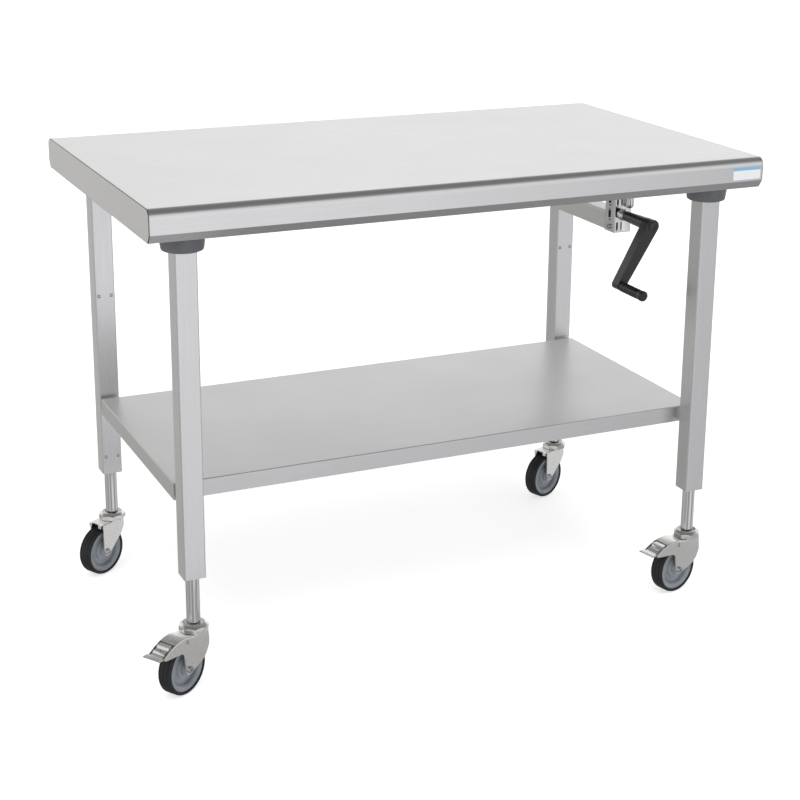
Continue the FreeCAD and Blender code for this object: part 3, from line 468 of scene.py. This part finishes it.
def make_materials():
    along_x = (GRAIN_LONG, GRAIN_FINE, GRAIN_FINE)
    along_y = (GRAIN_FINE, GRAIN_LONG, GRAIN_FINE)
    along_z = (GRAIN_FINE, GRAIN_FINE, GRAIN_LONG)
    band_start = LABEL_Z[1] - LABEL_BAND
    return {
        "worktop_steel": brushed_steel("worktop_steel", (0.80, 0.80, 0.80), 0.27, along_x, 0.04, 0.015),
        # The end plates' steel is set lighter than the worktop's: painted light on the end plates.
        "end_steel_painted_light": brushed_steel("end_steel_painted_light", (0.89, 0.89, 0.885), 0.34, along_y, 0.06),
        # Set darker than the worktop's steel: painted shade for the shelf that sits under the worktop.
        "sheet_steel": brushed_steel("sheet_steel", (0.73, 0.73, 0.73), 0.36, along_x, 0.06),
        "tube_steel": brushed_steel("tube_steel", (0.785, 0.785, 0.79), 0.29, along_z, 0.05, 0.02),
        "tank_steel": brushed_steel("tank_steel", (0.74, 0.74, 0.73), 0.34, along_y, 0.08),
        "core_board": coated_board("core_board"),
        "grey_plastic": moulded_plastic("grey_plastic", (0.105, 0.11, 0.12), 0.42),
        "bush_plastic": moulded_plastic("bush_plastic", (0.75, 0.75, 0.72), 0.5),
        "zinc_screws": polished_metal("zinc_screws", (0.62, 0.63, 0.64), 0.22),
        "plain_steel": brushed_steel("plain_steel", (0.55, 0.55, 0.55), 0.30, along_z),
        "polished_rod": brushed_steel("polished_rod", (0.76, 0.755, 0.75), 0.13, (900, 900, 8), 0.03, 0.02),
        "bright_chrome": polished_metal("bright_chrome", (0.82, 0.82, 0.82), 0.07),
        "collar_chrome": polished_metal("collar_chrome", (0.95, 0.95, 0.94), 0.20),
        "pedal_chrome": polished_metal("pedal_chrome", (0.90, 0.90, 0.895), 0.12),
        "castor_steel": brushed_steel(
            "castor_steel", (0.92, 0.91, 0.885), 0.27, (1500, 1500, 300), 0.02, 0.01
        ),
        "tread_rubber": moulded_plastic("tread_rubber", (0.014, 0.0145, 0.016), 0.5, 900.0, 0.12, 0.4),
        "wheel_plastic": moulded_plastic("wheel_plastic", (0.23, 0.25, 0.275), 0.36),
        "black_plastic": moulded_plastic("black_plastic", (0.007, 0.007, 0.0075), 0.24, 1500.0, 0.05, 0.75),
        # Dark material for the end plates' bevelled edges: painted shade, drawing dark lines along every
        # edge.
        "painted_edge_shade": polished_metal("painted_edge_shade", (0.10, 0.10, 0.10), 0.35),
        # Near-black for the strips in the pump block's grooves: painted shade in the recesses.
        "painted_groove_shade": moulded_plastic("painted_groove_shade", (0.012, 0.012, 0.013), 0.35),
        "label": blank_label("label", band_start, band_start + LABEL_BAND_FADE),
    }


def dress_nodes(materials):
    """Give every CAD node the material of its slot, with a few nodes brushed another way. The end plates'
    steel is also set lighter than the worktop's: painted light on the end plates.
    """
    own = {"end_plate_left": "end_steel_painted_light", "end_plate_right": "end_steel_painted_light", "oil_tank": "tank_steel"}
    own.update({"castor_stem_" + corner: "collar_chrome" for corner in CORNERS})
    own.update({"brake_pedal_" + corner: "pedal_chrome" for corner in BRAKED})
    for part in frame["record"]["subparts"]:
        name = own.get(part["node"], part["material_slot"])
        mesh = frame["nodes"][part["node"]].data
        mesh.materials.clear()
        mesh.materials.append(materials[name])


# ---------------------------------------------------------------- pieces


def softened(node, edge, angle=28.0, edge_material=None):
    """A copy of a CAD node with its sharp edges rounded, shown in the node's place."""
    source = frame["nodes"][node]
    mesh = source.data.copy()
    shape = bmesh.new()
    shape.from_mesh(mesh)
    bmesh.ops.remove_doubles(shape, verts=shape.verts, dist=1e-6)
    bmesh.ops.dissolve_limit(shape, angle_limit=math.radians(0.5), verts=shape.verts, edges=shape.edges)
    for face in shape.faces:
        face.smooth = True
    shape.to_mesh(mesh)
    shape.free()
    mesh.set_sharp_from_angle(angle=math.radians(angle))
    piece = bpy.data.objects.new(node + "_finish", mesh)
    bpy.context.scene.collection.objects.link(piece)
    bevel = piece.modifiers.new("edges", "BEVEL")
    bevel.width, bevel.segments = edge
    bevel.limit_method = "ANGLE"
    bevel.angle_limit = math.radians(angle)
    bevel.harden_normals = True
    bevel.use_clamp_overlap = True
    if edge_material is not None:
        mesh.materials.append(edge_material)
        bevel.material = 1
    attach(piece, source["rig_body"])
    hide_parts(node)
    return piece


def new_piece(name, shape, material, body, smooth_angle=35.0):
    """Turn a bmesh into a piece that rides on a body and has one material."""
    mesh = bpy.data.meshes.new(name)
    bmesh.ops.recalc_face_normals(shape, faces=shape.faces)
    for face in shape.faces:
        face.smooth = True
    shape.to_mesh(mesh)
    shape.free()
    mesh.set_sharp_from_angle(angle=math.radians(smooth_angle))
    mesh.materials.append(material)
    piece = bpy.data.objects.new(name, mesh)
    bpy.context.scene.collection.objects.link(piece)
    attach(piece, body)
    return piece


def add_ring_surface(shape, profile, place, axis, segments):
    """Turn a closed profile of (radius, distance along the axis) round an axis through a place."""
    axis = axis.normalized()
    side = axis.orthogonal().normalized()
    other = axis.cross(side)
    rings = []
    for step in range(segments):
        angle = 2 * math.pi * step / segments
        spoke = side * math.cos(angle) + other * math.sin(angle)
        rings.append([shape.verts.new(place + spoke * radius + axis * along) for radius, along in profile])
    count = len(profile)
    for step in range(segments):
        here, there = rings[step], rings[(step + 1) % segments]
        for index in range(count):
            follow = (index + 1) % count
            shape.faces.new((here[index], here[follow], there[follow], there[index]))


def add_slab(shape, low, high, radius, segments=6):
    """A thin plate that faces the front, from low to high, with rounded corners seen from the front."""
    (x_low, y_low, z_low), (x_high, y_high, z_high) = low, high
    outline = []
    corners = (
        (x_high - radius, z_high - radius, 0), (x_low + radius, z_high - radius, 90),
        (x_low + radius, z_low + radius, 180), (x_high - radius, z_low + radius, 270),
    )
    for x, z, start in corners:
        for step in range(segments + 1):
            angle = math.radians(start + 90 * step / segments)
            outline.append((x + radius * math.cos(angle), z + radius * math.sin(angle)))
    front = [shape.verts.new((x, y_low, z)) for x, z in outline]
    back = [shape.verts.new((x, y_high, z)) for x, z in outline]
    shape.faces.new(front)
    shape.faces.new(list(reversed(back)))
    for index in range(len(outline)):
        follow = (index + 1) % len(outline)
        shape.faces.new((front[index], front[follow], back[follow], back[index]))


def joint_line(name):
    """The place and direction of a joint's axis."""
    joint = next(joint for joint in frame["joints"] if joint["name"] == name)
    return Vector(joint["pos_m"]), Vector(joint["axis"])


def arc_points(centre, radius, start, end, steps=5):
    """Points of (radius, distance along the axis) on an arc, with the angles in degrees from the axis."""
    radius_centre, along_centre = centre
    points = []
    for step in range(steps + 1):
        angle = math.radians(start + (end - start) * step / steps)
        points.append((radius_centre + radius * math.sin(angle), along_centre + radius * math.cos(angle)))
    return points


def tyre_outline():
    """Half of the tyre's section: the seat, a bulging bead, a round shoulder and the grooved tread."""
    half = [(TYRE_INNER, TYRE_SEAT)]
    half += arc_points(BEAD_CENTRE, BEAD_RADIUS, *BEAD_ARC)
    half += arc_points(SHOULDER_CENTRE, SHOULDER_RADIUS, *SHOULDER_ARC)
    for middle in TYRE_GROOVES:
        crown = TYRE_RADIUS - TYRE_CROWN * middle ** 2
        half.append((crown, middle + 2 * GROOVE_HALF_WIDTH))
        half.append((crown - GROOVE_DEPTH, middle + GROOVE_HALF_WIDTH))
        if middle > 0:
            half.append((crown - GROOVE_DEPTH, middle - GROOVE_HALF_WIDTH))
            half.append((crown, middle - 2 * GROOVE_HALF_WIDTH))
    return half


def make_tyre(corner, materials):
    """A tyre with a bead, a rounded shoulder and three tread grooves."""
    place, axis = joint_line("roll_" + corner)
    half = tyre_outline()
    profile = half + [(radius, -along) for radius, along in reversed(half)]
    shape = bmesh.new()
    add_ring_surface(shape, profile, place, axis, 120)
    rubber = materials["tread_rubber"]
    piece = new_piece("tyre_tread_" + corner, shape, rubber, "wheel_" + corner)
    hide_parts("tyre_" + corner)


def make_label(materials):
    """A blank sticker on the front apron."""
    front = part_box("worktop_skin")[0].y
    shape = bmesh.new()
    low = (LABEL_X[0], front - LABEL_THICKNESS, LABEL_Z[0])
    high = (LABEL_X[1], front + LABEL_THICKNESS, LABEL_Z[1])
    add_slab(shape, low, high, LABEL_CORNER)
    new_piece("blank_label", shape, materials["label"], "table")


def make_pump_groove_shade(materials):
    """Painted shade in the pump block's grooves: dark strips on the floors of the front grooves and the far
    walls of the side ones.
    """
    middle = joint_line("crank_turn")[0].x
    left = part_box("pump_housing")[0].x + PUMP_PLATE_OVERHANG
    shape = bmesh.new()
    for offset, half in PUMP_FRONT_GROOVES:
        x = middle + offset
        for z_low, z_high in PUMP_FRONT_LEVELS:
            low = (x - half, PUMP_FRONT_FLOOR[0], z_low)
            high = (x + half, PUMP_FRONT_FLOOR[1], z_high)
            add_slab(shape, low, high, half * 0.9)
    for z_low, z_high in PUMP_SIDE_LEVELS:
        low = (left + PUMP_SIDE_SPAN[0], PUMP_SIDE_WALL - PUMP_SIDE_DEPTH[0], z_low)
        high = (left + PUMP_SIDE_SPAN[1], PUMP_SIDE_WALL + PUMP_SIDE_DEPTH[1], z_high)
        add_slab(shape, low, high, PUMP_SIDE_CORNER)
    new_piece("pump_groove_shade", shape, materials["painted_groove_shade"], "table")


def make_crank_cap(materials):
    """A round plug over the shaft's end, let into the arm."""
    place = joint_line("crank_turn")[0]
    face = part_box("crank_arm")[0].y
    centre = Vector((place.x, face, place.z))
    outward = Vector((0, -1, 0))
    shape = bmesh.new()
    add_ring_surface(shape, CRANK_CAP_PROFILE, centre, outward, 48)
    new_piece("crank_cap", shape, materials["black_plastic"], "crank")


def make_finishes(materials):
    """Softened copies of the nodes whose sharp edges would show. The end plates' bevels take a dark
    material: painted shade along their edges.
    """
    for node in ("crank_arm", "pump_housing"):
        softened(node, SOFT_CASTING)
    softened("leg_collars", SOFT_COLLAR)
    softened("shelf_tray", SOFT_SHEET)
    for side in ("left", "right"):
        softened("end_plate_" + side, SOFT_PLATE_EDGE, edge_material=materials["painted_edge_shade"])
    for corner in CORNERS:
        softened("castor_fork_" + corner, SOFT_FORK)
        softened("castor_stem_" + corner, SOFT_FORK)
    for corner in BRAKED:
        softened("brake_pedal_" + corner, SOFT_SHEET)


def make_details(materials):
    for corner in CORNERS:
        make_tyre(corner, materials)
    make_label(materials)
    make_pump_groove_shade(materials)
    make_crank_cap(materials)


make_camera()
make_world()
make_lights()
make_floor()
make_backdrop()
make_card()
MATERIALS = make_materials()
dress_nodes(MATERIALS)
make_finishes(MATERIALS)
make_details(MATERIALS)
bpy.context.scene.view_settings.view_transform = "Standard"
